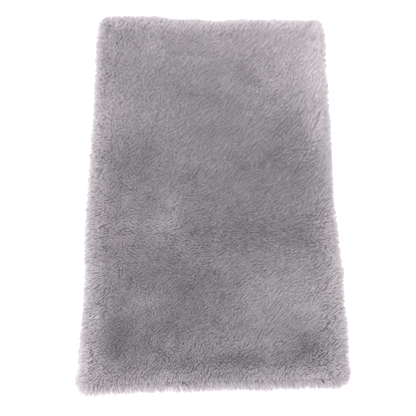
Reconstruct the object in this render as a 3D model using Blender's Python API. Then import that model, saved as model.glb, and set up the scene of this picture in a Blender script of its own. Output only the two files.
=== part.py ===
"""Sheepskin rug, lying flat with its wool up. Metres, +Z up, +X across the rug, +Y along it.

The rug is two solids: the tanned hide, a flat sheet cut to a rounded rectangle, and the
wool that grows on it, a lumpy slab that reaches past the cut edge of the hide and ends
all round in drooping locks, every second one lifted off the floor. Both are laid out on a
true rounded rectangle and then warped together, which gives the rug its uneven edges.
"""

import math
import random
from typing import NamedTuple

import bmesh
import bpy
from mathutils import Vector, geometry, noise

# Driving dimensions
RUG_WIDTH = 0.600
RUG_LENGTH = 1.000
PILE_LEVEL = 0.032
HIDE_THICKNESS = 0.0025
WOOL_OVERHANG = 0.022
PIECE_GAP = 0.0005

# How the edge is divided: each side and each corner has a whole, even number of locks
LONG_SIDE_LOCKS = 80
SHORT_SIDE_LOCKS = 46
CORNER_LOCKS = 4
SMALLEST_CORNER_RADIUS = 0.006

# The wool's top: a hexagonal net of points, each a small lump or hollow
NET_PITCH = 0.021
NET_SWAY = 0.006
NET_SWAY_PITCH = 0.0137
NET_CLEARANCE = 0.009
BROAD_LUMP = 0.0040
BROAD_LUMP_PITCH = 0.060
TUFT_LUMP = 0.0070
TUFT_LUMP_PITCH = 0.030
ROLL_OVER = 0.042

# The locks: how far a whole clump of them leans along the edge, and how uneven each one is
CLUMP_LEAN = 0.018
CLUMP_PITCH = 0.045
LOCK_SWAY = 0.0020
LOCK_REACH_SWAY = 0.0040
LOCK_SEED = 7


class Wave(NamedTuple):
    """How far the edge lies outside the true rectangle at a place along that side."""

    along: float
    out: float


class RimRing(NamedTuple):
    """One ring of the wool's rim: how far it lies inside the rug's edge, and its height."""

    inset: float
    height: float


class LockSection(NamedTuple):
    """A lock's section: its place inside the edge, its height, and its shares of width and lean."""

    inset: float
    foot: float
    top: float
    width: float
    lean: float


# Corner radii, named as seen from above with +Y away
CORNER_RADII = {
    "far_right": 0.024,
    "far_left": 0.024,
    "near_left": 0.038,
    "near_right": 0.036,
}

LEFT_EDGE = (
    Wave(-0.45, -0.003),
    Wave(-0.35, -0.004),
    Wave(-0.25, -0.008),
    Wave(-0.15, 0.001),
    Wave(-0.05, 0.003),
    Wave(0.15, 0.001),
    Wave(0.35, 0.003),
    Wave(0.45, 0.005),
)
RIGHT_EDGE = (
    Wave(-0.45, 0.006),
    Wave(-0.35, 0.007),
    Wave(-0.25, 0.003),
    Wave(-0.15, 0.000),
    Wave(-0.05, -0.005),
    Wave(0.05, -0.004),
    Wave(0.25, -0.002),
    Wave(0.45, 0.000),
)
FAR_EDGE = (
    Wave(-0.24, 0.009),
    Wave(-0.16, 0.008),
    Wave(-0.08, 0.000),
    Wave(0.00, -0.007),
    Wave(0.08, -0.003),
    Wave(0.24, -0.003),
)
NEAR_EDGE = (
    Wave(-0.24, 0.008),
    Wave(-0.16, 0.004),
    Wave(-0.08, 0.000),
    Wave(0.08, -0.002),
    Wave(0.16, -0.004),
    Wave(0.24, -0.006),
)

# The rim's section: the locks grow between the foot and the brow
FOOT = RimRing(inset=0.013, height=0.0)
BROW = RimRing(inset=0.014, height=0.021)
SHOULDER = RimRing(inset=0.022, height=0.0285)

# A lock that lies on the floor, from its waist to its tip, and one that is lifted off it
LYING_LOCK = (
    LockSection(inset=0.0085, foot=0.0000, top=0.0160, width=0.84, lean=0.15),
    LockSection(inset=0.0035, foot=0.0000, top=0.0090, width=0.52, lean=0.50),
    LockSection(inset=-0.0020, foot=0.0015, top=0.0015, width=0.00, lean=1.00),
)
LIFTED_LOCK = (
    LockSection(inset=0.0080, foot=0.0050, top=0.0182, width=0.84, lean=0.15),
    LockSection(inset=0.0030, foot=0.0080, top=0.0145, width=0.50, lean=0.50),
    LockSection(inset=-0.0015, foot=0.0090, top=0.0090, width=0.00, lean=1.00),
)

WOOL_COLOUR = (0.275, 0.250, 0.282, 1.0)
WOOL_ROUGHNESS = 0.95
HIDE_COLOUR = (0.600, 0.540, 0.470, 1.0)
HIDE_ROUGHNESS = 0.85
SMOOTH_ANGLE = math.radians(50.0)


def clear_scene():
    """Remove whatever the scene holds."""
    for obj in list(bpy.data.objects):
        bpy.data.objects.remove(obj, do_unlink=True)


def material(name, colour, roughness):
    """A plain Principled material."""
    made = bpy.data.materials.new(name)
    made.use_nodes = True
    shader = made.node_tree.nodes["Principled BSDF"]
    shader.inputs["Base Color"].default_value = colour
    shader.inputs["Roughness"].default_value = roughness
    shader.inputs["Metallic"].default_value = 0.0
    return made


def ease(share):
    """A smooth step from 0 to 1."""
    return share * share * (3.0 - 2.0 * share)


def edge_wave(rows, along):
    """The edge's own deviation at a place along its side, eased from row to row."""
    if along <= rows[0].along:
        return rows[0].out
    for near, far in zip(rows, rows[1:]):
        if along <= far.along:
            share = (along - near.along) / (far.along - near.along)
            return near.out + (far.out - near.out) * ease(share)
    return rows[-1].out


def warped(x, y):
    """Where a point of the true rectangle lies on the uneven rug. The middle stays put."""
    across = 2.0 * x / RUG_WIDTH
    lengthwise = 2.0 * y / RUG_LENGTH
    side = edge_wave(RIGHT_EDGE if x > 0 else LEFT_EDGE, y)
    end = edge_wave(FAR_EDGE if y > 0 else NEAR_EDGE, x)
    return (
        x + side * across * abs(across),
        y + end * lengthwise * abs(lengthwise),
    )


def edge_ring(inset):
    """(place, outward normal) pairs round the true rectangle, anticlockwise from +X, -Y."""
    half_width = RUG_WIDTH / 2.0 - inset
    half_length = RUG_LENGTH / 2.0 - inset
    corners = (
        ("near_right", 1, -1, -90.0),
        ("far_right", 1, 1, 0.0),
        ("far_left", -1, 1, 90.0),
        ("near_left", -1, -1, 180.0),
    )
    arcs = []
    for name, sign_x, sign_y, start in corners:
        radius = max(CORNER_RADII[name] - inset, SMALLEST_CORNER_RADIUS)
        centre = Vector((sign_x * (half_width - radius), sign_y * (half_length - radius)))
        arc = []
        for step in range(CORNER_LOCKS + 1):
            angle = math.radians(start + 90.0 * step / CORNER_LOCKS)
            normal = Vector((math.cos(angle), math.sin(angle)))
            arc.append((centre + normal * radius, normal))
        arcs.append(arc)
    ring = []
    side_locks = (LONG_SIDE_LOCKS, SHORT_SIDE_LOCKS, LONG_SIDE_LOCKS, SHORT_SIDE_LOCKS)
    for arc, following, locks in zip(arcs, arcs[1:] + arcs[:1], side_locks):
        ring += arc
        (first, normal), (last, _) = arc[-1], following[0]
        ring += [(first.lerp(last, step / locks), normal) for step in range(1, locks)]
    return ring


def ring_places(inset):
    """The places alone of a ring round the true rectangle."""
    return [place for place, _ in edge_ring(inset)]


def depth_inside(x, y):
    """How far a point lies inside the true rectangle's nearest side."""
    return min(RUG_WIDTH / 2.0 - abs(x), RUG_LENGTH / 2.0 - abs(y))


def crown_height(x, y):
    """The wool's height: level, lumpy, and rolling over towards the rim."""
    share = (depth_inside(x, y) - SHOULDER.inset) / (ROLL_OVER - SHOULDER.inset)
    share = min(max(share, 0.0), 1.0)
    level = SHOULDER.height + (PILE_LEVEL - SHOULDER.height) * math.sin(share * math.pi / 2.0)
    broad = noise.noise(Vector((x, y, 0.0)) / BROAD_LUMP_PITCH)
    tuft = noise.noise(Vector((x, y, 1.0)) / TUFT_LUMP_PITCH)
    return level + (0.3 + 0.7 * share) * (BROAD_LUMP * broad + TUFT_LUMP * tuft)


def net_points(boundary):
    """The points of the hexagonal net that lie clear of the boundary, inside it."""
    row_pitch = NET_PITCH * math.sqrt(3.0) / 2.0
    rows = int(RUG_LENGTH / row_pitch)
    columns = int(RUG_WIDTH / NET_PITCH)
    points = []
    for row in range(-rows // 2, rows // 2 + 1):
        for column in range(-columns // 2, columns // 2 + 1):
            at = Vector(((column + 0.5 * (row % 2)) * NET_PITCH, row * row_pitch))
            sway = noise.noise_vector(Vector((at.x, at.y, 2.0)) / NET_SWAY_PITCH)
            at += Vector((sway.x, sway.y)) * NET_SWAY
            if depth_inside(at.x, at.y) < SHOULDER.inset + NET_CLEARANCE:
                continue
            if min((at - edge).length for edge in boundary) > NET_CLEARANCE:
                points.append(at)
    return points


def add_ring(mesh, places, height):
    """A closed ring of vertices at one height."""
    return [mesh.verts.new((place.x, place.y, height)) for place in places]


def add_band(mesh, first, second):
    """The quads between two closed rings of equal count."""
    for here in range(len(first)):
        following = (here + 1) % len(first)
        mesh.faces.new((first[here], first[following], second[following], second[here]))


def add_crown(mesh, shoulder):
    """The wool's top, a triangle net from the shoulder ring inwards."""
    boundary = [Vector(vert.co.xy) for vert in shoulder]
    count = len(boundary)
    edges = [(here, (here + 1) % count) for here in range(count)]
    inside_only = 1
    places, _, triangles, originals, _, _ = geometry.delaunay_2d_cdt(
        boundary + net_points(boundary), edges, [], inside_only, 1e-7
    )
    verts = []
    for place, sources in zip(places, originals):
        if sources[0] < count:
            verts.append(shoulder[sources[0]])
        else:
            height = crown_height(place.x, place.y)
            verts.append(mesh.verts.new((place.x, place.y, height)))
    for triangle in triangles:
        mesh.faces.new([verts[corner] for corner in triangle])


def clump_lean(place):
    """How far the locks near a place lean along the edge."""
    return CLUMP_LEAN * noise.noise(Vector((place.x, place.y, 3.0)) / CLUMP_PITCH)


def add_lock(mesh, root, here, section_rings, sections, chance):
    """A four-sided lock, from its root quad on the rim through its sections to a point."""
    sway = chance.uniform(-1.0, 1.0) * LOCK_SWAY
    reach = chance.uniform(-1.0, 1.0) * LOCK_REACH_SWAY
    previous = root
    for section, ring in zip(sections, section_rings):
        (first, normal_a), (second, normal_b) = ring[here], ring[(here + 1) % len(ring)]
        outward = (normal_a + normal_b).normalized()
        sideways = Vector((-outward.y, outward.x))
        middle = first.lerp(second, 0.5)
        shift = sideways * (clump_lean(middle) + sway) + outward * reach
        middle += shift * section.lean
        half = (second - first) / 2.0 * section.width
        if section.width == 0.0:
            tip = mesh.verts.new((middle.x, middle.y, section.top))
            for side in range(4):
                mesh.faces.new((previous[side], previous[(side + 1) % 4], tip))
            return
        corners = (
            (middle - half, section.foot),
            (middle + half, section.foot),
            (middle + half, section.top),
            (middle - half, section.top),
        )
        current = [mesh.verts.new((at.x, at.y, height)) for at, height in corners]
        add_band(mesh, previous, current)
        previous = current


def add_locks(mesh, foot, brow):
    """A lock on each quad between the foot ring and the brow ring, lying and lifted in turn."""
    chance = random.Random(LOCK_SEED)
    kinds = (LYING_LOCK, LIFTED_LOCK)
    rings = [[edge_ring(section.inset) for section in sections] for sections in kinds]
    for here in range(len(foot)):
        following = (here + 1) % len(foot)
        root = (foot[here], foot[following], brow[following], brow[here])
        kind = here % 2
        add_lock(mesh, root, here, rings[kind], kinds[kind], chance)


def finished_object(name, mesh, look):
    """Warp the mesh to the uneven outline and put it in the scene as a smooth-shaded object."""
    for vert in mesh.verts:
        vert.co.x, vert.co.y = warped(vert.co.x, vert.co.y)
    bmesh.ops.recalc_face_normals(mesh, faces=mesh.faces)
    data = bpy.data.meshes.new(name)
    mesh.to_mesh(data)
    mesh.free()
    data.shade_smooth()
    data.set_sharp_from_angle(angle=SMOOTH_ANGLE)
    data.materials.append(look)
    obj = bpy.data.objects.new(name, data)
    bpy.context.scene.collection.objects.link(obj)
    return obj


def build_hide():
    """The tanned hide: a flat sheet whose underside lies on the floor."""
    mesh = bmesh.new()
    places = ring_places(WOOL_OVERHANG)
    under = add_ring(mesh, places, 0.0)
    over = add_ring(mesh, places, HIDE_THICKNESS)
    add_band(mesh, under, over)
    mesh.faces.new(under)
    mesh.faces.new(over)
    return finished_object("hide", mesh, material("hide", HIDE_COLOUR, HIDE_ROUGHNESS))


def build_wool():
    """The wool: a lumpy slab that stands on the floor round the hide and covers it."""
    mesh = bmesh.new()
    recess = ring_places(WOOL_OVERHANG - PIECE_GAP)
    recess_top = add_ring(mesh, recess, HIDE_THICKNESS + PIECE_GAP)
    recess_foot = add_ring(mesh, recess, 0.0)
    mesh.faces.new(recess_top)
    add_band(mesh, recess_top, recess_foot)
    foot, brow, shoulder = (
        add_ring(mesh, ring_places(ring.inset), ring.height) for ring in (FOOT, BROW, SHOULDER)
    )
    add_band(mesh, recess_foot, foot)
    add_locks(mesh, foot, brow)
    add_band(mesh, brow, shoulder)
    add_crown(mesh, shoulder)
    return finished_object("wool", mesh, material("wool", WOOL_COLOUR, WOOL_ROUGHNESS))


def centre_on_origin(objects):
    """Shift the meshes so that the origin is under the middle of the rug's outline box."""
    corners = [vert.co for obj in objects for vert in obj.data.vertices]
    middle_x = (min(co.x for co in corners) + max(co.x for co in corners)) / 2.0
    middle_y = (min(co.y for co in corners) + max(co.y for co in corners)) / 2.0
    for co in corners:
        co.x -= middle_x
        co.y -= middle_y


def main():
    clear_scene()
    centre_on_origin([build_hide(), build_wool()])


main()
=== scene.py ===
"""Looks of the sheepskin rug: tanned hide, under-wool, sheared pile and the loose wool at its rim.

Metres, +Z up, +Y along the rug to its far end. Every piece starts from the outline of the
frame's own hide, so it lies where the frame says. The wool is many thousand closed
three-sided tufts. Each one grows from a root on the hide, and leans as the wool near it does.
Its tone is a number, mostly from 0 for the deepest wool to 1 for the palest.
"""

import math
from enum import IntEnum
from itertools import product
from typing import NamedTuple

import bpy
import numpy as np
from bpy.props import FloatProperty, FloatVectorProperty, PointerProperty
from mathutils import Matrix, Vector


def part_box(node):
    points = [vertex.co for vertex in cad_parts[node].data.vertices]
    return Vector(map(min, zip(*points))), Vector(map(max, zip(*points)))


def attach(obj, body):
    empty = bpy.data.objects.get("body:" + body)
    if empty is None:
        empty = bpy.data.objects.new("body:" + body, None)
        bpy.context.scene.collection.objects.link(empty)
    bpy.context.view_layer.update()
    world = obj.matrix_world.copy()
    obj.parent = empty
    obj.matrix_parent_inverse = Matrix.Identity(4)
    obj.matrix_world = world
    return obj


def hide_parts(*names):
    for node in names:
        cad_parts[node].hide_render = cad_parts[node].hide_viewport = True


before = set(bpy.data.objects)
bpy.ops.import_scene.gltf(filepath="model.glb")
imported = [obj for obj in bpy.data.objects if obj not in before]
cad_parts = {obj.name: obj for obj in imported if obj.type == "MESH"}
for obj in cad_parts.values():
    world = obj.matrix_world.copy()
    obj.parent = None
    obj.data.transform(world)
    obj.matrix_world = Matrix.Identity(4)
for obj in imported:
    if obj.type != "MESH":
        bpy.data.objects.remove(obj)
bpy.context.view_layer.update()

bl_info = {
    "name": "Sheepskin rug",
    "version": (1, 0, 0),
    "blender": (4, 5, 0),
    "location": "3D View > Sidebar > Sheepskin rug",
    "description": "Builds a rectangular sheepskin rug with sheared wool on a tanned hide",
    "category": "Add Mesh",
}

BODY = "root"
HIDE_LOW, HIDE_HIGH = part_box("hide")
_, WOOL_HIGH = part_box("wool")


# ---- charted


class BrushShading(NamedTuple):
    """A soft patch of painted light and shade, where the brushed wool lies differently: its middle,
    half axes, turn, tone.
    """

    x: float
    y: float
    length: float
    width: float
    turn: float
    tone: float


# Metres and degrees, with +X to the right and +Y away. They add up where they overlap. A positive
# tone is painted light and a negative one painted shade.
BRUSH_SHADING = tuple(BrushShading(*row) for row in (
    # broad ones, wider than a hand
    (0.00, 0.475, 0.50, 0.035, 0, 0.16),
    (0.00, 0.45, 0.50, 0.35, 0, -0.06),
    (-0.05, 0.40, 0.26, 0.07, 0, 0.05),
    (0.20, 0.38, 0.17, 0.10, 90, 0.13),
    (-0.29, 0.28, 0.22, 0.025, 90, -0.02),
    (-0.24, 0.20, 0.07, 0.07, 0, 0.10),
    (0.10, 0.13, 0.12, 0.12, 0, -0.05),
    (-0.24, 0.10, 0.38, 0.045, 90, 0.13),
    (0.24, -0.04, 0.19, 0.055, 90, -0.09),
    (0.12, -0.09, 0.12, 0.10, 0, -0.14),
    (0.10, -0.12, 0.12, 0.05, 0, -0.05),
    (0.11, -0.145, 0.13, 0.04, 0, -0.05),
    (-0.23, -0.15, 0.10, 0.05, 90, 0.08),
    (0.00, -0.22, 0.20, 0.08, 0, -0.05),
    (0.15, -0.265, 0.08, 0.06, 20, 0.11),
    (0.00, -0.38, 0.50, 0.22, 0, 0.05),
    (-0.16, -0.43, 0.10, 0.055, 0, 0.08),
    (-0.04, -0.466, 0.26, 0.022, 0, 0.20),
    # the far end
    (-0.135, 0.467, 0.02, 0.012, 0, 0.10),
    (-0.17, 0.46, 0.04, 0.02, 0, -0.06),
    (-0.05, 0.46, 0.15, 0.02, 0, 0.05),
    (0.12, 0.46, 0.04, 0.02, 0, -0.07),
    (-0.25, 0.45, 0.05, 0.035, 0, -0.06),
    (-0.275, 0.43, 0.022, 0.014, 90, 0.15),
    (-0.255, 0.403, 0.03, 0.018, 90, 0.08),
    (-0.18, 0.40, 0.05, 0.03, 0, 0.06),
    (-0.17, 0.40, 0.08, 0.035, 75, 0.06),
    (0.15, 0.40, 0.02, 0.016, 0, 0.10),
    (0.27, 0.40, 0.04, 0.014, 90, 0.11),
    (0.05, 0.395, 0.05, 0.022, -15, 0.07),
    (-0.136, 0.37, 0.02, 0.016, 0, 0.10),
    (-0.04, 0.355, 0.05, 0.028, 15, 0.04),
    # the far half
    (0.15, 0.33, 0.022, 0.022, 0, -0.06),
    (0.26, 0.33, 0.10, 0.04, 90, 0.16),
    (-0.02, 0.315, 0.075, 0.01, 5, -0.05),
    (0.09, 0.315, 0.05, 0.016, -65, -0.12),
    (0.095, 0.29, 0.022, 0.018, 0, -0.12),
    (0.263, 0.28, 0.02, 0.014, 90, 0.12),
    (0.16, 0.27, 0.05, 0.025, 60, 0.04),
    (-0.075, 0.262, 0.05, 0.018, -18, -0.12),
    (-0.005, 0.236, 0.035, 0.016, -20, -0.09),
    (0.165, 0.235, 0.025, 0.022, 0, -0.11),
    (-0.26, 0.21, 0.10, 0.035, 85, 0.15),
    (0.052, 0.205, 0.028, 0.028, 0, -0.09),
    (-0.15, 0.20, 0.04, 0.04, 0, 0.06),
    (-0.232, 0.184, 0.02, 0.02, 0, 0.08),
    (0.19, 0.16, 0.03, 0.024, 0, -0.13),
    (0.18, 0.155, 0.036, 0.024, 60, -0.07),
    (0.26, 0.155, 0.04, 0.022, 90, 0.24),
    (0.005, 0.145, 0.055, 0.024, 15, -0.12),
    # the middle
    (0.19, 0.09, 0.07, 0.06, 0, -0.08),
    (-0.16, 0.075, 0.065, 0.024, 80, -0.12),
    (0.15, 0.072, 0.032, 0.024, 60, -0.12),
    (0.06, 0.07, 0.03, 0.045, 0, -0.06),
    (-0.062, 0.055, 0.034, 0.016, 15, 0.05),
    (0.295, 0.05, 0.13, 0.02, 90, -0.10),
    (0.20, 0.045, 0.024, 0.018, 0, -0.10),
    (0.20, 0.04, 0.036, 0.02, 0, -0.09),
    (-0.225, 0.035, 0.05, 0.026, 100, -0.09),
    (0.11, 0.03, 0.06, 0.06, 0, -0.07),
    (-0.06, 0.012, 0.036, 0.018, 25, -0.16),
    (0.15, -0.02, 0.06, 0.05, 0, -0.02),
    (-0.105, -0.025, 0.016, 0.018, 0, 0.10),
    (-0.195, -0.03, 0.05, 0.02, 90, 0.08),
    (-0.245, -0.04, 0.10, 0.045, 90, 0.22),
    (-0.008, -0.04, 0.04, 0.015, -40, -0.08),
    (-0.095, -0.045, 0.022, 0.018, 0, 0.14),
    (-0.088, -0.055, 0.055, 0.02, 80, 0.11),
    (-0.285, -0.06, 0.08, 0.02, 90, -0.10),
    (-0.15, -0.07, 0.036, 0.018, 90, -0.04),
    # below the middle
    (-0.235, -0.09, 0.06, 0.024, 90, 0.06),
    (0.10, -0.09, 0.08, 0.05, 0, 0.06),
    (-0.14, -0.10, 0.05, 0.05, 0, 0.10),
    (-0.095, -0.105, 0.02, 0.016, 0, 0.12),
    (-0.16, -0.11, 0.05, 0.03, 0, 0.06),
    (-0.105, -0.112, 0.045, 0.02, 20, 0.12),
    (0.095, -0.118, 0.038, 0.026, 10, -0.06),
    (-0.19, -0.12, 0.04, 0.016, 90, 0.05),
    (-0.195, -0.125, 0.016, 0.014, 90, 0.12),
    (-0.038, -0.125, 0.032, 0.018, -20, -0.12),
    (-0.21, -0.13, 0.10, 0.022, 90, 0.32),
    (-0.15, -0.13, 0.07, 0.06, 0, 0.08),
    (-0.208, -0.14, 0.06, 0.014, 90, 0.12),
    (0.205, -0.145, 0.035, 0.028, 0, -0.13),
    (0.24, -0.15, 0.12, 0.03, 90, 0.05),
    (-0.10, -0.16, 0.03, 0.025, 0, 0.07),
    (-0.24, -0.165, 0.032, 0.02, -60, -0.05),
    (-0.065, -0.17, 0.024, 0.022, 0, 0.06),
    (-0.195, -0.182, 0.016, 0.014, 90, 0.12),
    (-0.10, -0.20, 0.04, 0.014, 0, -0.08),
    (0.23, -0.20, 0.05, 0.03, 90, -0.08),
    (-0.18, -0.21, 0.04, 0.04, 0, 0.05),
    (-0.195, -0.235, 0.04, 0.022, 90, 0.21),
    # the near half
    (-0.16, -0.255, 0.036, 0.024, 10, -0.11),
    (-0.045, -0.262, 0.045, 0.024, 35, -0.14),
    (-0.155, -0.263, 0.016, 0.014, 0, -0.09),
    (0.035, -0.275, 0.036, 0.026, 40, -0.08),
    (-0.23, -0.30, 0.09, 0.028, 90, 0.06),
    (-0.17, -0.30, 0.06, 0.05, 90, 0.08),
    (-0.17, -0.30, 0.04, 0.04, 90, 0.05),
    (-0.15, -0.30, 0.05, 0.03, 0, 0.06),
    (-0.05, -0.30, 0.04, 0.04, 0, -0.05),
    (0.23, -0.30, 0.05, 0.03, 90, 0.07),
    (0.033, -0.306, 0.016, 0.014, 0, -0.10),
    (-0.19, -0.315, 0.022, 0.016, 90, 0.10),
    (-0.18, -0.315, 0.036, 0.014, 25, 0.08),
    (-0.20, -0.32, 0.05, 0.022, 90, 0.18),
    (0.132, -0.323, 0.018, 0.016, 0, -0.10),
    (0.13, -0.33, 0.06, 0.035, 0, 0.05),
    (-0.285, -0.34, 0.09, 0.025, 90, -0.08),
    (-0.22, -0.34, 0.016, 0.014, 90, 0.12),
    (-0.175, -0.35, 0.08, 0.04, 90, 0.06),
    (-0.265, -0.355, 0.022, 0.016, 90, 0.18),
    (0.013, -0.36, 0.02, 0.016, 50, -0.11),
    (0.07, -0.36, 0.024, 0.02, 0, -0.11),
    (-0.11, -0.362, 0.11, 0.022, 5, -0.10),
    (-0.225, -0.392, 0.048, 0.024, 80, -0.14),
    # the near end, from the left corner to the right
    (-0.28, -0.485, 0.025, 0.025, 0, -0.04),
    (-0.255, -0.47, 0.02, 0.018, 0, -0.20),
    (-0.24, -0.40, 0.024, 0.016, 0, -0.08),
    (-0.23, -0.445, 0.018, 0.014, 0, 0.12),
    (-0.225, -0.445, 0.018, 0.016, 0, 0.18),
    (-0.225, -0.452, 0.02, 0.018, 0, 0.06),
    (-0.22, -0.462, 0.04, 0.02, 0, 0.12),
    (-0.20, -0.46, 0.10, 0.03, 0, 0.17),
    (-0.185, -0.455, 0.026, 0.018, 60, -0.10),
    (-0.17, -0.43, 0.02, 0.014, 0, 0.15),
    (-0.15, -0.455, 0.025, 0.018, 0, 0.10),
    (-0.13, -0.465, 0.018, 0.014, 0, 0.12),
    (-0.12, -0.46, 0.05, 0.02, 0, 0.10),
    (-0.07, -0.408, 0.036, 0.016, 0, 0.07),
    (-0.055, -0.44, 0.04, 0.016, 0, -0.05),
    (-0.04, -0.492, 0.03, 0.012, 0, -0.14),
    (-0.033, -0.463, 0.018, 0.012, 0, -0.10),
    (0.025, -0.41, 0.03, 0.02, 0, 0.06),
    (0.03, -0.476, 0.02, 0.01, 0, -0.12),
    (0.06, -0.45, 0.06, 0.03, 0, -0.08),
    (0.06, -0.46, 0.03, 0.02, 0, -0.09),
    (0.08, -0.437, 0.06, 0.018, 0, -0.14),
    (0.136, -0.485, 0.018, 0.012, 0, 0.12),
    (0.14, -0.405, 0.045, 0.014, -10, 0.09),
    (0.19, -0.40, 0.05, 0.05, 0, -0.09),
    (0.205, -0.412, 0.06, 0.022, 40, -0.11),
    (0.205, -0.475, 0.018, 0.014, 0, 0.12),
    (0.235, -0.40, 0.04, 0.04, 0, -0.08),
    (0.235, -0.48, 0.024, 0.014, 0, 0.20),
))


class CombedRow(NamedTuple):
    """How the wool leans at five places across the rug, in X and Y for each metre of rise."""

    y: float
    left_rim: tuple
    left: tuple
    middle: tuple
    right: tuple
    right_rim: tuple


COMBED_X = (-0.30, -0.15, 0.00, 0.15, 0.30)
COMBED_ROWS = (
    CombedRow(-0.48, (-0.10, -0.30), (0.15, -0.10), (0.22, -0.10), (0.28, -0.10), (0.40, -0.20)),
    CombedRow(-0.36, (-0.20, -0.90), (0.18, -0.05), (0.28, -0.05), (0.36, 0.00), (0.45, 0.20)),
    CombedRow(-0.22, (-0.20, -0.90), (0.18, -0.05), (0.30, -0.08), (0.38, -0.08), (0.45, 0.40)),
    CombedRow(-0.10, (-0.15, -0.75), (0.18, -0.10), (0.32, -0.18), (0.38, -0.22), (0.45, 0.45)),
    CombedRow(0.03, (-0.10, -0.45), (0.22, 0.00), (0.36, -0.08), (0.42, -0.08), (0.48, 0.60)),
    CombedRow(0.17, (0.05, -0.20), (0.32, 0.05), (0.42, 0.04), (0.46, 0.08), (0.50, 0.75)),
    CombedRow(0.31, (0.10, -0.10), (0.36, 0.08), (0.45, 0.08), (0.50, 0.10), (0.55, 0.80)),
    CombedRow(0.45, (0.20, 0.00), (0.40, 0.10), (0.48, 0.10), (0.54, 0.15), (0.60, 0.80)),
    CombedRow(0.50, (0.40, 0.05), (0.70, 0.15), (0.80, 0.15), (0.80, 0.20), (0.80, 0.80)),
)


class Parting(NamedTuple):
    """A short line where the wool falls apart, with painted shade along it and a painted highlight
    on its lips: its ends, half width and strength.
    """

    from_x: float
    from_y: float
    to_x: float
    to_y: float
    width: float
    strength: float


PARTINGS = tuple(Parting(*row) for row in (
    # the long faint line inside the left rim
    (-0.229, 0.01, -0.217, -0.001, 0.0022, 0.60),
    (-0.217, -0.001, -0.221, -0.017, 0.0022, 0.60),
    (-0.231, -0.062, -0.228, -0.114, 0.002, 0.55),
    (-0.224, -0.208, -0.216, -0.232, 0.0022, 0.60),
    (-0.216, -0.232, -0.213, -0.252, 0.002, 0.50),
    (-0.132, 0.205, -0.165, 0.10, 0.0018, 0.25),
    # short ones across the left rim, from the far end
    (-0.259, 0.335, -0.239, 0.353, 0.002, 0.40),
    (-0.293, 0.027, -0.284, 0.038, 0.0016, 0.45),
    (-0.284, 0.038, -0.266, 0.018, 0.0016, 0.35),
    (-0.268, -0.08, -0.257, -0.073, 0.0022, 0.60),
    (-0.268, -0.124, -0.252, -0.112, 0.0024, 0.80),
    (-0.264, -0.16, -0.249, -0.178, 0.0024, 0.45),
    (-0.232, -0.291, -0.224, -0.305, 0.0024, 0.70),
    (-0.269, -0.307, -0.242, -0.317, 0.0018, 0.80),
    (-0.242, -0.317, -0.247, -0.343, 0.002, 0.55),
    # curls near the left corner
    (-0.272, -0.416, -0.269, -0.43, 0.0024, 0.75),
    (-0.266, -0.434, -0.257, -0.444, 0.0018, 0.60),
    (-0.252, -0.447, -0.242, -0.452, 0.002, 0.65),
    (-0.279, -0.445, -0.266, -0.443, 0.0018, 0.60),
    (-0.22, -0.439, -0.215, -0.432, 0.002, 0.80),
    (-0.215, -0.432, -0.202, -0.443, 0.0018, 0.60),
    (-0.227, -0.485, -0.22, -0.49, 0.0022, 0.50),
    # along the near rim
    (-0.13, -0.443, -0.121, -0.434, 0.0018, 0.80),
    (-0.13, -0.416, -0.103, -0.43, 0.0016, 0.50),
    (-0.149, -0.472, -0.134, -0.457, 0.0018, 0.90),
    (-0.12, -0.465, -0.099, -0.457, 0.0018, 0.55),
    (-0.099, -0.457, -0.085, -0.468, 0.0018, 0.60),
    (-0.083, -0.479, -0.076, -0.465, 0.0016, 0.60),
    (-0.055, -0.468, -0.033, -0.459, 0.002, 0.65),
    (0.002, -0.452, 0.016, -0.459, 0.0018, 0.55),
    (0.018, -0.387, 0.02, -0.407, 0.0018, 0.55),
    # along the right rim, from the near end
    (0.225, -0.443, 0.239, -0.43, 0.002, 0.55),
    (0.177, -0.443, 0.193, -0.428, 0.0018, 0.50),
    (0.215, -0.421, 0.234, -0.398, 0.0018, 0.50),
    (0.249, -0.371, 0.266, -0.347, 0.002, 0.60),
    (0.247, -0.122, 0.268, -0.119, 0.0018, 0.45),
    (0.275, 0.038, 0.284, 0.027, 0.0024, 0.70),
    (0.262, 0.167, 0.272, 0.202, 0.0018, 0.45),
    (0.19, 0.369, 0.228, 0.407, 0.0012, 0.25),
    (0.225, 0.461, 0.227, 0.442, 0.002, 0.30),
    # at the far end and in the middle
    (-0.221, 0.423, -0.216, 0.416, 0.002, 0.60),
    (-0.216, 0.416, -0.192, 0.40, 0.0018, 0.45),
    (0.016, 0.426, 0.034, 0.442, 0.0014, 0.45),
    (-0.028, 0.045, -0.045, 0.012, 0.0026, 0.35),
))


class Overgrowth(NamedTuple):
    """A stretch of the rim with longer or shorter wool: its middle, radius and extra length."""

    x: float
    y: float
    radius: float
    extra: float


OVERGROWTHS = tuple(Overgrowth(*row) for row in (
    (-0.285, -0.486, 0.028, 0.015),
    (-0.283, -0.24, 0.03, 0.006),
    (-0.045, -0.486, 0.03, 0.004),
    (0.283, -0.24, 0.03, 0.004),
    (0.283, 0.486, 0.03, -0.005),
    (-0.283, 0.47, 0.02, -0.004),
    (-0.283, 0.25, 0.03, -0.003),
))


class Patch(NamedTuple):
    """A soft-edged patch of the rug: its middle and its half axes in X and Y."""

    x: float
    y: float
    half_x: float
    half_y: float

    def share(self, x, y):
        """How much each place belongs to the patch, from 0 to 1."""
        return np.exp(-(((x - self.x) / self.half_x) ** 2) - ((y - self.y) / self.half_y) ** 2)


# Where the bunches run flatter, where they are rounder, and where the painted shade of the folds
# between them darkens
FLAT_BELT = Patch(0.00, -0.14, math.inf, 0.07)
FLAT_LEFT = Patch(-0.11, -0.15, 0.07, 0.22)
ROUND_LEFT = Patch(-0.19, -0.05, 0.08, 0.18)
DARK_FOLD_PATCH = Patch(0.10, -0.10, 0.15, 0.10)


# ---- sizes and colours

LOCK_REACH = 0.006  # how far the frame's locks reach past the rug's own width


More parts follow.
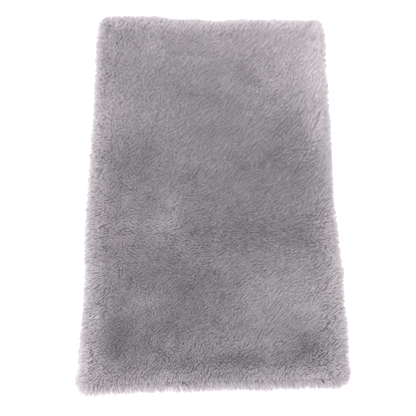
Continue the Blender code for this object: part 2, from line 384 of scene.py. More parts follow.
def metres(name, description, default):
    """A length that a user may change."""
    return FloatProperty(
        name=name, description=description, default=default, unit="LENGTH", precision=4
    )


def fraction(name, description, default):
    """A share from 0 to 1 that a user may change."""
    return FloatProperty(name=name, description=description, default=default, min=0.0, max=1.0)


def colour(name, description, default):
    """A colour that a user may change."""
    return FloatVectorProperty(
        name=name, description=description, default=default, subtype="COLOR", size=3
    )


class RugSizes(bpy.types.PropertyGroup):
    """The sizes of the hide and of its wool."""

    hide_thickness: metres(
        "Hide thickness", "Thickness of the tanned skin", HIDE_HIGH.z - HIDE_LOW.z
    )
    overhang: metres(
        "Overhang",
        "How far the wool reaches past the hide's cut edge",
        (WOOL_HIGH.x - HIDE_HIGH.x) - LOCK_REACH,
    )
    wool_length: metres("Wool length", "Length of a tuft from root to tip", 0.0300)
    rim_wool_length: metres("Rim wool length", "Length of a tuft at the hide's cut edge", 0.0322)
    under_wool_height: metres(
        "Under-wool height", "Height of the dense wool below the tips", 0.0245
    )
    tuft_pitch: metres("Tuft pitch", "Distance between neighbouring tufts", 0.00188)
    border_pitch: metres("Border pitch", "The same where the wool starts to lean outwards", 0.00160)
    tuft_radius: metres("Tuft radius", "Radius of a tuft where it leaves the under-wool", 0.00130)
    rim_tuft_pitch: metres("Rim tuft pitch", "Distance between tufts along the rim", 0.00195)
    rim_tuft_radius: metres("Rim tuft radius", "Radius of a rim tuft at its foot", 0.00105)
    bunch_width: metres("Bunch width", "Width of the bunches that the tufts gather into", 0.0044)
    rim_bunch_width: metres("Rim bunch width", "The same for the loose wool at the rim", 0.0030)
    fan_depth: metres(
        "Fan depth", "How far inside the hide's edge the wool stands up again", 0.0140
    )
    # painted light: how far in from the cut edge the wool is paled
    rim_light_depth: metres("Rim light depth", "How far inside the hide's edge the wool is paler", 0.0180)


class RugColours(bpy.types.PropertyGroup):
    """The colours and tones of the hide and of its wool."""

    deep_wool: colour("Deep wool", "The darkest wool", (0.104, 0.0930, 0.107))
    pale_wool: colour("Pale wool", "The palest wool", (0.830, 0.774, 0.820))
    # painted shade: the roots are darkened, standing in for the shade deep in the pile
    root_shade: fraction("Root shade", "How much of the tips' tone is left at the roots", 0.55)
    rim_root_shade: fraction("Rim root shade", "The same for the rim's loose wool", 0.48)
    wool_tone: fraction("Wool tone", "Tone of unmarked wool, between deep and pale", 0.372)
    # painted light and shade of the brushed pile
    brush_shading_strength: fraction("Brush shading", "How strongly the brush marks show", 0.92)
    # painted light: the wool near the rim is paled, standing in for light that shines through it
    # there
    painted_pile_rim_light: fraction("Painted pile rim light", "What the pile near the rim adds to that tone", 0.28)
    painted_rim_light: fraction("Painted rim light", "What the loose wool at the rim adds to that tone", 0.17)
    # painted light: the tips of the rim's wool are paled, standing in for light shining through
    # them
    painted_tip_light: fraction("Painted tip light", "What the tips of the rim's wool add to its tone", 0.55)
    bunch_contrast: fraction("Bunch contrast", "Difference in tone between bunches", 0.04)
    # painted shade in the fold below each bunch and painted light above it
    painted_fold_shade: fraction("Painted fold shade", "How much paler a bunch is above than below", 0.52)
    tuft_contrast: fraction("Tuft contrast", "Difference in tone between tufts", 0.15)
    hide_colour: colour("Hide", "The tanned flesh side", (0.560, 0.470, 0.375))
    hide_stain: colour("Hide stain", "The darker patches of the flesh side", (0.400, 0.320, 0.245))
    floor: colour("Floor", "The studio floor", (0.900, 0.900, 0.900))


def sizes():
    """The sizes set in the scene."""
    return bpy.context.scene.rug_sizes


def colours():
    """The colours set in the scene."""
    return bpy.context.scene.rug_colours


# ---- chance and smooth noise

NOISE_CELLS = 256


class Seed(IntEnum):
    """A seed for each thing that chance places, so that every run grows the same wool."""

    PILE = 11
    RIM = 12
    BUNCHES = 31
    RIM_BUNCHES = 41
    RIM_STROKES = 45
    CROSS_BUNCHES = 46


def eased(share):
    """A smooth step from 0 to 1."""
    share = np.clip(share, 0.0, 1.0)
    return share * share * (3.0 - 2.0 * share)


class Sway(NamedTuple):
    """Smooth noise over the rug: its strength, the width of its hills, and its seed."""

    strength: float
    pitch: float
    seed: int

    def at(self, x, y):
        """The noise at each place, from minus its strength to plus its strength."""
        chance = np.random.default_rng(self.seed)
        table = chance.uniform(-1.0, 1.0, (NOISE_CELLS, NOISE_CELLS))
        column, row = np.floor(x / self.pitch).astype(int), np.floor(y / self.pitch).astype(int)
        across, along = eased(x / self.pitch - column), eased(y / self.pitch - row)

        def corner(right, up):
            return table[(column + right) % NOISE_CELLS, (row + up) % NOISE_CELLS]

        near = corner(0, 0) * (1.0 - across) + corner(1, 0) * across
        far = corner(0, 1) * (1.0 - across) + corner(1, 1) * across
        return self.strength * (near * (1.0 - along) + far * along)


UNDER_WOOL_LUMPS = Sway(strength=0.0009, pitch=0.018, seed=21)
UNDER_WOOL_SWELL = Sway(strength=0.0006, pitch=0.050, seed=22)
PILE_SWELL = Sway(strength=0.0010, pitch=0.045, seed=34)
PILE_CLOUDS = Sway(strength=0.04, pitch=0.016, seed=35)
TOUSLE_X = Sway(strength=1.0, pitch=0.022, seed=32)
TOUSLE_Y = Sway(strength=1.0, pitch=0.022, seed=33)
BUNCH_SWIRL = Sway(strength=0.50, pitch=0.015, seed=38)
BROAD_SWIRL = Sway(strength=0.15, pitch=0.050, seed=40)
RIM_SIDEWAYS = Sway(strength=0.04, pitch=0.010, seed=42)
RIM_SWELL = Sway(strength=0.002, pitch=0.030, seed=43)
PARTING_SWAY_X = Sway(strength=0.0020, pitch=0.008, seed=51)
PARTING_SWAY_Y = Sway(strength=0.0020, pitch=0.008, seed=52)


def mostly_pale(drawn):
    """From numbers between 0 and 1, tones that are mostly a little pale, and at times dark."""
    return 2.0 / 3.0 - 2.0 * drawn**2


# ---- bunches

# The bunches lie in rows that run up to the right, each one longer than it is wide. Rounder
# ones cross them.
ROW_TURN = math.radians(44.0)
BUNCH_STRETCH = 1.6
CROSS_TURN = math.pi / 2.0
CROSS_STRETCH = 1.1
CROSS_WIDTH = 0.9
CROSS_SHARE = 0.35
BUNCH_JITTER = (0.22, 0.78)

# How far a tuft's tip is pulled towards the middle of its bunch
PULL_ALONG = 0.10
PULL_ACROSS = 0.25


class Axes(NamedTuple):
    """Two level axes at right angles, turned anticlockwise from +X and +Y."""

    cosine: np.ndarray
    sine: np.ndarray

    def measured(self, x, y):
        """A way over the rug, as lengths along the two axes."""
        return x * self.cosine + y * self.sine, y * self.cosine - x * self.sine

    def laid_out(self, along, across):
        """Lengths along the two axes, as a way over the rug."""
        return along * self.cosine - across * self.sine, along * self.sine + across * self.cosine


def axes_at(turn):
    """The axes at a turn in radians."""
    return Axes(np.cos(turn), np.sin(turn))


class Bunches(NamedTuple):
    """For each place: its bunch's middle, the pull towards it, a number from 0 to 1 that the
    bunch shares, and the side of the bunch it is on, from -1 below to 1 above."""

    x: np.ndarray
    y: np.ndarray
    pull_x: np.ndarray
    pull_y: np.ndarray
    mark: np.ndarray
    side: np.ndarray


def nearest_bunches(
    x, y, width, turn, stretch, seed, row_turn=ROW_TURN, row_stretch=BUNCH_STRETCH
):
    """The bunch that each place belongs to.

    The bunches lie in loose rows at a turn of their own. One is as long as its width times
    stretch, and runs the way that turn says. Turn and stretch may differ from place to place.
    """
    chance = np.random.default_rng(seed)
    jitter = chance.uniform(*BUNCH_JITTER, (NOISE_CELLS, NOISE_CELLS, 2))
    marks = chance.uniform(0.0, 1.0, (NOISE_CELLS, NOISE_CELLS))
    row_length = row_stretch * width
    in_row, over_rows = axes_at(row_turn).measured(x, y)
    column = np.floor(in_row / row_length).astype(int)
    row = np.floor(over_rows / width).astype(int)
    bunch_axes, rug_axes = axes_at(turn - row_turn), axes_at(turn)
    best = np.full(x.shape, np.inf)
    to_along, to_across, mark = np.zeros(x.shape), np.zeros(x.shape), np.zeros(x.shape)
    for right, up in product(range(-2, 3), range(-3, 4)):
        here, there = (column + right) % NOISE_CELLS, (row + up) % NOISE_CELLS
        off_in_row = (column + right + jitter[here, there, 0]) * row_length - in_row
        off_over_rows = (row + up + jitter[here, there, 1]) * width - over_rows
        off_along, off_across = bunch_axes.measured(off_in_row, off_over_rows)
        distance = np.hypot(off_along / stretch, off_across) / width
        closer = distance < best
        best = np.where(closer, distance, best)
        to_along = np.where(closer, off_along, to_along)
        to_across = np.where(closer, off_across, to_across)
        mark = np.where(closer, marks[here, there], mark)
    off_x, off_y = rug_axes.laid_out(to_along, to_across)
    pull_x, pull_y = rug_axes.laid_out(PULL_ALONG * to_along, PULL_ACROSS * to_across)
    side = np.clip(-2.0 * to_across / width, -1.0, 1.0)
    return Bunches(x + off_x, y + off_y, pull_x, pull_y, mark, side)


# ---- the outline

CORNER_BLEND = 0.010
PLACES_AT_ONCE = 20000


def unit_rows(vectors):
    """Rows of vectors, each made one long."""
    return vectors / np.linalg.norm(vectors, axis=1)[:, None]


class Outline:
    """The hide's cut edge, read from the frame, as a ring of places with outward normals."""

    def __init__(self, node):
        corners = np.array([vert.co.xy for vert in node.data.vertices])
        places = np.unique(np.round(corners, 6), axis=0)
        half = np.abs(places).max(axis=0)
        order = np.argsort(np.arctan2(places[:, 1] / half[1], places[:, 0] / half[0]))
        self.places = places[order]
        along = np.roll(self.places, -1, axis=0) - np.roll(self.places, 1, axis=0)
        self.normals = unit_rows(np.stack([along[:, 1], -along[:, 0]], axis=1))

    def ring(self, outset):
        """The ring set outwards by a distance."""
        return self.places + self.normals * outset

    def reach(self, angles, outset):
        """How far the outset ring lies from the middle in each direction."""
        ring = self.ring(outset)
        ring_angles = np.arctan2(ring[:, 1], ring[:, 0])
        order = np.argsort(ring_angles)
        radii = np.hypot(ring[:, 0], ring[:, 1])
        return np.interp(angles, ring_angles[order], radii[order], period=2.0 * math.pi)

    def walk(self, outset, pitch):
        """Stops a pitch apart along the outset ring: their feet on the cut edge, and normals."""
        ring = self.ring(outset)
        sides = np.linalg.norm(np.roll(ring, -1, axis=0) - ring, axis=1)
        travelled = np.concatenate([[0.0], np.cumsum(sides)])
        count = int(travelled[-1] / pitch)
        stops = np.arange(count) * travelled[-1] / count

        def at_stops(rows):
            closed = np.vstack([rows, rows[:1]])
            columns = [np.interp(stops, travelled, closed[:, axis]) for axis in (0, 1)]
            return np.stack(columns, axis=1)

        return at_stops(self.places), unit_rows(at_stops(self.normals))

    def depth(self, x, y):
        """How far each place lies inside the hide's edge, and the way outwards.

        The way outwards is a blend over the edge nearby, so it turns softly behind the corners.
        """
        first, side = self.places, np.roll(self.places, -1, axis=0) - self.places
        normal_a, normal_b = self.normals, np.roll(self.normals, -1, axis=0)
        lengths = np.linalg.norm(side, axis=1)
        depth, normal = np.empty(len(x)), np.empty((len(x), 2))
        for start in range(0, len(x), PLACES_AT_ONCE):
            here = slice(start, start + PLACES_AT_ONCE)
            away = np.stack([x[here], y[here]], axis=1)[:, None, :] - first[None]
            share = np.clip((away * side).sum(axis=2) / (side * side).sum(axis=1), 0.0, 1.0)
            off = away - share[:, :, None] * side
            distance = np.linalg.norm(off, axis=2)
            nearest = distance.argmin(axis=1)
            row = np.arange(len(nearest))
            mixed = share[row, nearest][:, None]
            facing = unit_rows(normal_a[nearest] * (1.0 - mixed) + normal_b[nearest] * mixed)
            outside = (off[row, nearest] * facing).sum(axis=1) > 0.0
            depth[here] = np.where(outside, -1.0, 1.0) * distance[row, nearest]
            near = np.exp((distance[row, nearest][:, None] - distance) / CORNER_BLEND) * lengths
            normal[here] = near @ (normal_a + normal_b) / (2.0 * near.sum(axis=1)[:, None])
        return depth, normal


OUTLINE = Outline(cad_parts["hide"])


# ---- how the wool lies

# How the bunches run: less steeply in the flat patches, and outwards near the rim
FLATTEST_TURN = math.radians(28.0)
FLAT_LEFT_SHARE = 0.6
ROUNDEST = 0.30
RIM_RUN_DEPTH = 0.012
SIDE_RIM_RUN = 0.3

# How strongly the painted shade and light of a fold show, and how they fade towards the far end and
# near the rim
FOLD_SHADE = 0.8
FOLD_LEAST = 0.4
FOLD_MARKED = 1.6
FOLD_FAR_START = 0.05
FOLD_FAR_RUN = 0.30
FOLD_FAR_LOSS = 0.15
FOLD_DEEPEST = 0.30
FOLD_RIM_LOSS = 0.35
FOLD_RIM_DEPTH = 0.012

LIP_DISTANCE = 2.2  # from the middle of a parting, in its half widths
MOST_FAN = math.radians(80.0)


def near_edge(depth, reach):
    """A share that falls softly from 1 at the hide's edge, or outside it, to 0 well inside."""
    return np.exp(-np.maximum(depth, 0.0) / reach)


def painted_brush_shading(x, y):
    """The painted light and shade that the brush marks add to the wool's tone at each place."""
    tone = np.zeros(x.shape)
    for mark in BRUSH_SHADING:
        along, across = axes_at(math.radians(mark.turn)).measured(x - mark.x, y - mark.y)
        tone += mark.tone * np.exp(-((along / mark.length) ** 2 + (across / mark.width) ** 2))
    return tone * colours().brush_shading_strength


def combed_slope(x, y):
    """The slope of the wool at each place, blended smoothly between the combed rows."""
    chart = np.array([row[1:] for row in COMBED_ROWS])
    rows = np.interp(y, [row.y for row in COMBED_ROWS], np.arange(len(COMBED_ROWS)))
    columns = np.interp(x, COMBED_X, np.arange(len(COMBED_X)))
    low = np.minimum(rows.astype(int), len(COMBED_ROWS) - 2)
    left = np.minimum(columns.astype(int), len(COMBED_X) - 2)
    up, across = eased(rows - low)[:, None], eased(columns - left)[:, None]
    near = chart[low, left] * (1.0 - across) + chart[low, left + 1] * across
    far = chart[low + 1, left] * (1.0 - across) + chart[low + 1, left + 1] * across
    return near * (1.0 - up) + far * up


def parted(x, y):
    """How deep in a parting each place is, and how near its lip, both from 0 to 1."""
    x = x + PARTING_SWAY_X.at(x, y)
    y = y + PARTING_SWAY_Y.at(x, y)
    dip, lip = np.zeros(x.shape), np.zeros(x.shape)
    for line in PARTINGS:
        run_x, run_y = line.to_x - line.from_x, line.to_y - line.from_y
        share = ((x - line.from_x) * run_x + (y - line.from_y) * run_y) / (run_x**2 + run_y**2)
        share = np.clip(share, 0.0, 1.0)
        off_x, off_y = x - line.from_x - share * run_x, y - line.from_y - share * run_y
        distance = np.hypot(off_x, off_y) / line.width
        dip = np.maximum(dip, line.strength * np.exp(-(distance**2)))
        lip = np.maximum(lip, line.strength * np.exp(-((distance - LIP_DISTANCE) ** 2)))
    return dip, lip


def overgrowth(x, y):
    """How much longer the rim's wool is at each place than elsewhere."""
    extra = np.zeros(x.shape)
    for patch in OVERGROWTHS:
        away = np.hypot(x - patch.x, y - patch.y) / patch.radius
        extra += patch.extra * np.exp(-(away**2))
    return extra


def fan_angle(depth):
    """How far the wool leans outwards from upright, by its root's depth inside the edge."""
    return MOST_FAN * near_edge(depth, sizes().fan_depth)


def wool_length_at(depth):
    """A tuft's length, from the rim's at the hide's edge to the pile's on the rug's top."""
    inside = 1.0 - near_edge(depth, sizes().fan_depth)
    return sizes().rim_wool_length + (sizes().wool_length - sizes().rim_wool_length) * inside


def bunch_run(x, y, depth, outward):
    """Which way the bunches run, in radians, and how many times longer than wide they are.

    Most run up to the right, less steeply in a belt below the middle, and those near the rim
    run outwards, at the near end most of all. Those left of the middle are rounder.
    """
    flatter = FLAT_BELT.share(x, y) + FLAT_LEFT_SHARE * FLAT_LEFT.share(x, y)
    turn = ROW_TURN - FLATTEST_TURN * np.minimum(flatter, 1.0)
    turn += BUNCH_SWIRL.at(x, y) + BROAD_SWIRL.at(x, y)
    facing = np.arctan2(outward[:, 1], outward[:, 0])
    near_end = np.maximum(-np.sin(facing), 0.0)
    rim = near_edge(depth, RIM_RUN_DEPTH) * (SIDE_RIM_RUN + (1.0 - SIDE_RIM_RUN) * near_end)
    double_x = np.cos(2.0 * turn) * (1.0 - rim) + np.cos(2.0 * facing) * rim
    double_y = np.sin(2.0 * turn) * (1.0 - rim) + np.sin(2.0 * facing) * rim
    stretch = BUNCH_STRETCH * (1.0 - ROUNDEST * ROUND_LEFT.share(x, y))
    return np.arctan2(double_y, double_x) / 2.0, stretch


def fold_shading_across(bunch):
    """Painted shade and light across a bunch: darkest in the fold below it, paler above, and more
    so for one in a few.

    It adds nothing over the whole of a bunch.
    """
    across = FOLD_SHADE * (bunch.side - bunch.side**2 + 1.0 / 3.0)
    return across * (FOLD_LEAST + FOLD_MARKED * bunch.mark**2)


def fold_shade_strength(x, y, depth):
    """How strong the painted shade of the folds is: less near the rims and at the far end, more
    below the middle.
    """
    far = FOLD_FAR_LOSS * eased((y - FOLD_FAR_START) / FOLD_FAR_RUN)
    below = FOLD_DEEPEST * DARK_FOLD_PATCH.share(x, y)
    return (1.0 - far + below) * (1.0 - FOLD_RIM_LOSS * near_edge(depth, FOLD_RIM_DEPTH))


# ---- tufts as meshes

TUFT_MAP = "OFBake"
TUFT_SIDES = 3
TONE_COLUMNS = 60
COLUMN_SPREAD = (-0.42, 0.42, 0.0)
CAP_HEIGHT = 0.06
MOST_TONE = 0.999  # keeps the palest tufts in the last column


def tuft_corners(sections, radii, turns):
    """The corners of every tuft: three round the middle of each section but the last, the tip."""
    count, rings = len(turns), len(radii)
    corners = np.empty((count, TUFT_SIDES * rings + 1, 3))
    off_upright = np.array([1e-6, 0.0, 0.0])
    for ring, (middle, radius) in enumerate(zip(sections, radii)):
        axis = unit_rows(sections[ring + 1] - middle)
        level = np.stack([-axis[:, 1], axis[:, 0], np.zeros(count)], axis=1)
        level = unit_rows(level + off_upright)
        rise = np.cross(axis, level)
        for side in range(TUFT_SIDES):
            angle = turns + side * 2.0 * math.pi / TUFT_SIDES
            off = level * np.cos(angle)[:, None] + rise * np.sin(angle)[:, None]
            corners[:, TUFT_SIDES * ring + side] = middle + off * radius[:, None]
    corners[:, -1] = sections[-1]
    return corners


def tuft_faces(rings):
    """One tuft's triangles, as numbers of its corners, and each corner's height up the tuft."""
    tip = TUFT_SIDES * rings
    faces, heights = [(2, 1, 0)], [(CAP_HEIGHT, 0.0, 0.0)]
    for ring in range(rings):
        low, high = ring / rings, (ring + 1) / rings
        for side in range(TUFT_SIDES):
            a, b = TUFT_SIDES * ring + side, TUFT_SIDES * ring + (side + 1) % TUFT_SIDES
            if ring < rings - 1:
                faces += [(a, b, b + TUFT_SIDES), (a, b + TUFT_SIDES, a + TUFT_SIDES)]
                heights += [(low, low, high), (low, high, high)]
            else:
                faces.append((a, b, tip))
                heights.append((low, low, high))
    return np.array(faces), np.array(heights)


def tuft_map_places(tones, heights):
    """Where every tuft's corners lie on its map: its tone's column across, and its height up."""
    column = (np.clip(tones, 0.0, MOST_TONE) * TONE_COLUMNS).astype(int)
    middle = (column + 0.5) / TONE_COLUMNS
    shape = (len(tones), *heights.shape)
    spread = np.broadcast_to(np.array(COLUMN_SPREAD) / TONE_COLUMNS, shape)
    return np.stack([middle[:, None, None] + spread, np.broadcast_to(heights, shape)], axis=3)


def tuft_object(name, sections, radii, turns, tones, material):
    """One object of closed three-sided tufts.

    sections holds the middles of the tufts' rings from foot to tip, radii the rings' radii
    without the tip's, turns how far each tuft is turned, and tones each tuft's tone.
    """
    corners = tuft_corners(sections, radii, turns)
    faces, heights = tuft_faces(len(radii))
    count, corners_each = corners.shape[:2]
    indices = (faces[None] + np.arange(count)[:, None, None] * corners_each).ravel()
    mesh = bpy.data.meshes.new(name)
    mesh.vertices.add(count * corners_each)
    mesh.vertices.foreach_set("co", corners.astype(np.float32).ravel())
    mesh.loops.add(len(indices))
    mesh.loops.foreach_set("vertex_index", indices.astype(np.int32))
    mesh.polygons.add(len(indices) // 3)
    mesh.polygons.foreach_set("loop_start", np.arange(0, len(indices), 3, dtype=np.int32))
    mesh.update(calc_edges=True)
    layer = mesh.uv_layers.new(name=TUFT_MAP)
    places = tuft_map_places(tones, heights)
    layer.data.foreach_set("uv", places.astype(np.float32).ravel())
    mesh.shade_smooth()
    mesh.materials.append(material)
    mesh.validate()
    obj = bpy.data.objects.new(name, mesh)
    bpy.context.scene.collection.objects.link(obj)
    return obj


def place_piece(obj, node):
    """Say what a finished piece rides on and which node it stands for."""
    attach(obj, BODY)
    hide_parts(node)


# ---- materials

SHEEN_ROUGHNESS = 0.45
SPECULAR_LEVEL = 0.2
WOOL_ROUGHNESS = 0.85
WOOL_SHEEN = 0.25
# how sharply the painted light gathers at a rim tuft's tip
TIP_LIGHT_POWER = 2.5
# the height up a tuft where its painted root shade ends
SHADE_TOP = 0.85
MOTTLE_DETAILS = (("Broad scale", 3.0), ("Fine scale", 6.0))
MOTTLE_LOW = 0.75
MOTTLE_HIGH = 1.25
RELIEF_DEPTH = 0.0005


def new_group(name, inputs, outputs):
    """An empty node group with rows of named sockets, and its own inputs and outputs inside."""
    group = bpy.data.node_groups.new(name, "ShaderNodeTree")
    for in_out, rows in (("INPUT", inputs), ("OUTPUT", outputs)):
        for socket, kind in rows:
            group.interface.new_socket(
                name=socket, in_out=in_out, socket_type=f"NodeSocket{kind}"
            )
    given, made = group.nodes.new("NodeGroupInput"), group.nodes.new("NodeGroupOutput")
    return group, given.outputs, made.inputs


def feed(tree, socket, value):
    """Give a node's input another node's output, or a plain value."""
    if isinstance(value, bpy.types.NodeSocket):
        tree.links.new(value, socket)
    else:
        socket.default_value = value


def computed(tree, operation, *values):
    """The output of a Math node."""
    node = tree.nodes.new("ShaderNodeMath")
    node.operation = operation
    for socket, value in zip(node.inputs, values):
        feed(tree, socket, value)
    return node.outputs["Value"]


def mixed_colour(tree, blend, factor, first, second):
    """The output of a colour Mix node."""
    node = tree.nodes.new("ShaderNodeMix")
    node.data_type = "RGBA"
    node.blend_type = blend
    node.clamp_factor = True
    for name, value in (("Factor", factor), ("A", first), ("B", second)):
        feed(tree, node.inputs[name], value)
    return node.outputs["Result"]


def mapped(tree, value, interpolation="LINEAR", **limits):
    """The output of a Map Range node, whose limits are named as its sockets are."""
    node = tree.nodes.new("ShaderNodeMapRange")
    node.interpolation_type = interpolation
    feed(tree, node.inputs["Value"], value)
    for name, limit in limits.items():
        feed(tree, node.inputs[name.replace("_", " ").title()], limit)
    return node.outputs["Result"]


def wool_tone_group():
    """Colour of a tuft from its tone column and the height along it, with painted shade towards the
    root and painted light at the tip.
    """
    found = bpy.data.node_groups.get("wool tone")
    if found:
        return found
    inputs = (
        ("Tone", "Float"), ("Height", "Float"), ("Deep", "Color"), ("Pale", "Color"),
        ("Root shade", "Float"), ("Painted tip light", "Float"),
    )
    group, given, made = new_group("wool tone", inputs, (("Colour", "Color"),))
    # painted light, paling the rim's tips
    near_tip = computed(group, "POWER", given["Height"], TIP_LIGHT_POWER)
    glow = computed(group, "MULTIPLY_ADD", near_tip, given["Painted tip light"], given["Tone"])
    body = mixed_colour(group, "MIX", glow, given["Deep"], given["Pale"])
    # painted shade, darker towards the root
    rise = mapped(
        group, given["Height"], "SMOOTHSTEP",
        from_min=0.0, from_max=SHADE_TOP, to_min=given["Root shade"], to_max=1.0,
    )
    feed(group, made["Colour"], mixed_colour(group, "MULTIPLY", 1.0, body, rise))
    return group


def mottle_group():
    """Two scales of soft mottling between two colours, and a height for a bump."""
    found = bpy.data.node_groups.get("mottle")
    if found:
        return found
    inputs = (
        ("Place", "Vector"), ("Broad scale", "Float"), ("Fine scale", "Float"),
        ("Base", "Color"), ("Stain", "Color"),
    )
    group, given, made = new_group("mottle", inputs, (("Colour", "Color"), ("Height", "Float")))
    layers = []
    for scale, detail in MOTTLE_DETAILS:
        layer = group.nodes.new("ShaderNodeTexNoise")
        feed(group, layer.inputs["Detail"], detail)
        feed(group, layer.inputs["Vector"], given["Place"])
        feed(group, layer.inputs["Scale"], given[scale])
        layers.append(layer.outputs["Fac"])
    spread = mapped(
        group, computed(group, "ADD", *layers), from_min=MOTTLE_LOW, from_max=MOTTLE_HIGH
    )
    blend = mixed_colour(group, "MIX", spread, given["Base"], given["Stain"])
    feed(group, made["Colour"], blend)
    feed(group, made["Height"], layers[1])
    return group


def new_material(name, roughness, sheen):
    """A material, and its Principled shader with a fixed roughness and sheen."""
    made = bpy.data.materials.new(name)
    made.use_nodes = True
    shader = made.node_tree.nodes["Principled BSDF"]
    shader.inputs["Roughness"].default_value = roughness
    shader.inputs["Sheen Weight"].default_value = sheen
    shader.inputs["Sheen Roughness"].default_value = SHEEN_ROUGHNESS
    shader.inputs["Specular IOR Level"].default_value = SPECULAR_LEVEL
    return made, shader


def with_alpha(plain):
    """A colour of three numbers, with full alpha."""
    return (*plain, 1.0)


def add_group(tree, group, values):
    """A node group placed in a material, with its named inputs filled."""
    node = tree.nodes.new("ShaderNodeGroup")
    node.node_tree = group
    for name, value in values.items():
        feed(tree, node.inputs[name], value)
    return node.outputs


def wool_material(name, root_shade, painted_tip_light):
    """The dyed wool of pile or rim: one colour for each tone column, darkened towards the root as
    painted shade.
    """
    found = bpy.data.materials.get(name)
    if found:
        return found
    made, shader = new_material(name, WOOL_ROUGHNESS, WOOL_SHEEN)
    tree = made.node_tree
    place = tree.nodes.new("ShaderNodeUVMap")
    place.uv_map = TUFT_MAP
    parts = tree.nodes.new("ShaderNodeSeparateXYZ")
    feed(tree, parts.inputs["Vector"], place.outputs["UV"])
    tone = add_group(tree, wool_tone_group(), {
        "Tone": parts.outputs["X"],
        "Height": parts.outputs["Y"],
        "Deep": with_alpha(colours().deep_wool),
        "Pale": with_alpha(colours().pale_wool),
        "Root shade": root_shade,
        "Painted tip light": painted_tip_light,
    })
    feed(tree, shader.inputs["Base Color"], tone["Colour"])
    return made


def mottled_material(name, roughness, sheen, base, stain, broad, fine, bump):
    """A material mottled between two colours on Object coordinates, with a fine bump."""
    made, shader = new_material(name, roughness, sheen)
    tree = made.node_tree
    mottle = add_group(tree, mottle_group(), {
        "Place": tree.nodes.new("ShaderNodeTexCoord").outputs["Object"],
        "Broad scale": broad,
        "Fine scale": fine,
        "Base": with_alpha(base),
        "Stain": with_alpha(stain),
    })
    relief = tree.nodes.new("ShaderNodeBump")
    relief.inputs["Strength"].default_value = bump
    relief.inputs["Distance"].default_value = RELIEF_DEPTH
    feed(tree, relief.inputs["Height"], mottle["Height"])
    feed(tree, shader.inputs["Base Color"], mottle["Colour"])
    feed(tree, shader.inputs["Normal"], relief.outputs["Normal"])
    return made


# ---- sheets


def move_corners(obj, places):
    """Put an object's corners in new places."""
    obj.data.vertices.foreach_set("co", places.astype(np.float32).ravel())
    obj.data.update()


def outline_grid(name, outset, height, cell):
    """A level grid with its rim on the outset ring. It stays the active object."""
    bpy.ops.object.select_all(action="DESELECT")
    columns = round((HIDE_HIGH.x - HIDE_LOW.x) / cell)
    rows = round((HIDE_HIGH.y - HIDE_LOW.y) / cell)
    bpy.ops.mesh.primitive_grid_add(x_subdivisions=columns, y_subdivisions=rows, size=2.0)
    obj = bpy.context.active_object
    obj.name = obj.data.name = name
    half_x, half_y = HIDE_HIGH.x + outset, HIDE_HIGH.y + outset
    places = np.array([vert.co for vert in obj.data.vertices])
    x, y = places[:, 0] * half_x, places[:, 1] * half_y
    angles = np.arctan2(y, x)
    with np.errstate(divide="ignore"):
        square = np.minimum(half_x / np.abs(np.cos(angles)), half_y / np.abs(np.sin(angles)))
    share = OUTLINE.reach(angles, outset) / square
    move_corners(obj, np.stack([x * share, y * share, np.full(len(x), height)], axis=1))
    return obj


def select_open_rim():
    """Edit the active object, with only the edges of its open rim selected."""
    bpy.ops.object.mode_set(mode="EDIT")
    bpy.ops.mesh.select_mode(type="EDGE")
    bpy.ops.mesh.select_all(action="DESELECT")
    bpy.ops.mesh.select_non_manifold(
        extend=False, use_wire=False, use_boundary=True, use_multi_face=False,
        use_non_contiguous=False, use_verts=False,
    )


def extrude_rim(obj, outset, height):
    """Extrude the open rim of the active object once, to a ring at a height."""
    select_open_rim()
    bpy.ops.mesh.extrude_edges_move()
    bpy.ops.object.mode_set(mode="OBJECT")
    rim = [vert for vert in obj.data.vertices if vert.select]
    angles = np.array([math.atan2(vert.co.y, vert.co.x) for vert in rim])
    for vert, angle, radius in zip(rim, angles, OUTLINE.reach(angles, outset)):
        vert.co = (radius * math.cos(angle), radius * math.sin(angle), height)


def close_rim():
    """Fill the open rim of the active object with one face."""
    select_open_rim()
    bpy.ops.mesh.edge_face_add()
    bpy.ops.mesh.select_all(action="SELECT")
    bpy.ops.mesh.normals_make_consistent(inside=False)
    bpy.ops.object.mode_set(mode="OBJECT")


# ---- the hide and the under-wool

HIDE_CELL = 0.012
CUT_ROUNDING = 0.0007
HIDE_SMOOTH_ANGLE = math.radians(50.0)

UNDER_WOOL_CELL = 0.010
UNDER_WOOL_INSET = 0.014
UNDER_WOOL_GAP = 0.0006
# The rings of its shoulder: how far past the cut edge, and how high as a share of its top
UNDER_WOOL_SHOULDER = ((-0.002, 0.90), (0.006, 0.62), (0.010, 0.30))
UNDER_WOOL_FOOT = 0.009
UNDER_WOOL_SMOOTH_ANGLE = math.radians(60.0)
# painted shade: the under-wool is coloured a little paler than the darkest wool, standing in for
# the shade deep in the pile
UNDER_WOOL_SHADE = 1.4  # how much paler than the darkest wool it is
UNDER_WOOL_DEEPER_SHADE = 1.1


class RUG_OT_hide(bpy.types.Operator):
    """Model the tanned hide: a flat sheet with a softly rounded cut edge"""

    bl_idname = "rug.add_hide"
    bl_label = "Tanned hide"

    def execute(self, context):
        hide = outline_grid("tanned_hide", 0.0, 0.0, HIDE_CELL)
        solid = hide.modifiers.new("thickness", "SOLIDIFY")
        solid.thickness = sizes().hide_thickness
        solid.offset = 1.0
        rounded = hide.modifiers.new("cut edge", "BEVEL")
        rounded.width = CUT_ROUNDING
        rounded.segments = 2
        rounded.limit_method = "ANGLE"
        for modifier in (solid, rounded):
            bpy.ops.object.modifier_apply(modifier=modifier.name)
        bpy.ops.object.shade_smooth_by_angle(angle=HIDE_SMOOTH_ANGLE)
        hide.data.materials.append(mottled_material(
            "hide", roughness=0.82, sheen=0.15, base=colours().hide_colour,
            stain=colours().hide_stain, broad=9.0, fine=160.0, bump=0.5,
        ))
        place_piece(hide, "hide")
        return {"FINISHED"}


